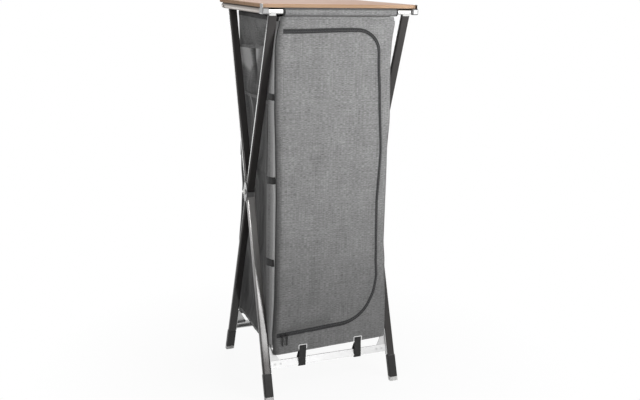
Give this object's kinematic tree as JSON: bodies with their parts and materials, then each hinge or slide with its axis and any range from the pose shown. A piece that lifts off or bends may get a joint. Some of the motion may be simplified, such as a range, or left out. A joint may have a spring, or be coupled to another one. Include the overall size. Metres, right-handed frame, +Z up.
{
  "type": "folding camp cupboard",
  "caption": "Folding camping cupboard: fabric cabinet with zip door and shelves hung in crossed tube legs, under a lift-off wooden worktop.",
  "frame": {"origin": "on the floor, under the centre of the overall box", "axes": "+Z up, -Y toward the zip door's side, +X to the right of someone facing the door"},
  "size_m": [0.6096, 0.5443, 1.471],
  "materials": {
    "leg_tube": "dark anodised, glossy",
    "hub_metal": "cast, satin",
    "polished_tube": "polished",
    "bright_channel": "bright anodised",
    "rail_satin": "satin anodised",
    "corner_metal": "die cast, satin",
    "foot_plastic": "moulded, pale sole",
    "dark_plastic": "moulded",
    "worktop_wood": "pale wood decor",
    "grey_fabric": "grey melange weave",
    "dark_fabric": "dark weave",
    "zip_tape": "woven zip tape with coil",
    "zip_metal": "black lacquer",
    "buckle_steel": "plated wire",
    "webbing": "ribbed webbing"
  },
  "bodies": {
    "root": {"hub_outer_plate_left": "hub_metal", "hub_outer_plate_right": "hub_metal", "hub_inner_plate_left": "hub_metal", "hub_inner_plate_right": "hub_metal", "hub_bolt_left": "polished_tube", "hub_bolt_right": "polished_tube", "cabinet_side_left": "grey_fabric", "cabinet_side_right": "grey_fabric", "cabinet_floor": "grey_fabric", "side_pockets_left": "grey_fabric", "shelf_1": "dark_fabric", "shelf_2": "dark_fabric", "shelf_3": "dark_fabric"},
    "lower_front_frame": {"leg_lower_front_left": "leg_tube", "foot_front_left": "foot_plastic", "bracket_front_left": "bright_channel", "strap_front_left": "webbing", "leg_lower_front_right": "leg_tube", "foot_front_right": "foot_plastic", "bracket_front_right": "bright_channel", "strap_front_right": "webbing", "profile_bottom_front": "bright_channel"},
    "lower_rear_frame": {"leg_lower_rear_left": "leg_tube", "foot_rear_left": "foot_plastic", "bracket_rear_left": "bright_channel", "strap_rear_left": "webbing", "leg_lower_rear_right": "leg_tube", "foot_rear_right": "foot_plastic", "bracket_rear_right": "bright_channel", "strap_rear_right": "webbing", "profile_bottom_rear": "bright_channel"},
    "upper_front_frame": {"leg_upper_front_left": "leg_tube", "leg_upper_front_right": "leg_tube", "tube_top_front": "polished_tube", "sleeve_front": "grey_fabric"},
    "upper_rear_frame": {"leg_upper_rear_left": "leg_tube", "leg_upper_rear_right": "leg_tube", "tube_top_rear": "polished_tube", "sleeve_rear": "grey_fabric"},
    "front_panel": {"buckle_front_left": "buckle_steel", "buckle_front_right": "buckle_steel", "cabinet_front": "grey_fabric", "zip_panel_half": "zip_tape"},
    "rear_panel": {"buckle_rear_left": "buckle_steel", "buckle_rear_right": "buckle_steel", "cabinet_back": "grey_fabric"},
    "worktop": {"worktop_board": "worktop_wood", "rail_left": "rail_satin", "rail_right": "rail_satin", "rail_cap_left": "dark_plastic", "rail_cap_right": "dark_plastic", "corner_fitting_left": "corner_metal", "corner_fitting_right": "corner_metal"},
    "door": {"door": "grey_fabric", "zip_door_half": "zip_tape", "zip_slider_a": "zip_metal"},
    "slider_b": {"zip_slider_b": "zip_metal"},
    "pull_a": {"zip_pull_a": "zip_metal"},
    "pull_b": {"zip_pull_b": "zip_metal"}
  },
  "joints": [
    {"name": "fold_lower_front", "type": "hinge", "parent": "root", "child": "lower_front_frame", "pos_m": [0, -0.0171, 0.71923], "axis": [1, 0, 0], "range_deg": [0, 18], "deforming": ["cabinet_side_left", "cabinet_side_right", "side_pockets_left", "cabinet_floor", "shelf_1", "shelf_2", "shelf_3"]},
    {"name": "fold_lower_rear", "type": "hinge", "parent": "root", "child": "lower_rear_frame", "pos_m": [0, 0.0011, 0.71923], "axis": [-1, 0, 0], "range_deg": [0, 18]},
    {"name": "fold_upper_front", "type": "hinge", "parent": "root", "child": "upper_front_frame", "pos_m": [0, -0.0171, 0.77277], "axis": [-1, 0, 0], "range_deg": [0, 18]},
    {"name": "fold_upper_rear", "type": "hinge", "parent": "root", "child": "upper_rear_frame", "pos_m": [0, 0.0011, 0.77277], "axis": [1, 0, 0], "range_deg": [0, 18]},
    {"name": "gather_front", "type": "slide", "parent": "root", "child": "front_panel", "axis": [0, 1, 0], "range_m": [0, 0.2]},
    {"name": "gather_rear", "type": "slide", "parent": "root", "child": "rear_panel", "axis": [0, -1, 0], "range_m": [0, 0.2]},
    {"name": "worktop_lift", "type": "slide", "parent": "root", "child": "worktop", "axis": [0, 0, 1], "range_m": [0, 0.3]},
    {"name": "door_swing", "type": "hinge", "parent": "front_panel", "child": "door", "pos_m": [-0.2205, -0.22443, 0.16497], "axis": [0, -0.0176, 0.9998], "range_deg": [-105, 0]},
    {"name": "slider_b_slide", "type": "slide", "parent": "door", "child": "slider_b", "axis": [1, 0, 0], "range_m": [0, 0.22]},
    {"name": "pull_a_swing", "type": "hinge", "parent": "door", "child": "pull_a", "pos_m": [-0.2, -0.23359, 0.23632], "axis": [-1, 0, 0], "range_deg": [0, 120]},
    {"name": "pull_b_swing", "type": "hinge", "parent": "slider_b", "child": "pull_b", "pos_m": [-0.183, -0.23359, 0.23632], "axis": [-1, 0, 0], "range_deg": [0, 120]}
  ],
  "couplings": [
    {"joint": "fold_lower_rear", "follows": "fold_lower_front", "ratio": 1},
    {"joint": "fold_upper_front", "follows": "fold_lower_front", "ratio": 1},
    {"joint": "fold_upper_rear", "follows": "fold_lower_front", "ratio": 1},
    {"joint": "gather_front", "follows": "fold_lower_front", "m_per_rad": 0.63662},
    {"joint": "gather_rear", "follows": "fold_lower_front", "m_per_rad": 0.63662},
    {"joint": "worktop_lift", "follows": "fold_lower_front", "m_per_rad": 0.95493}
  ]
}
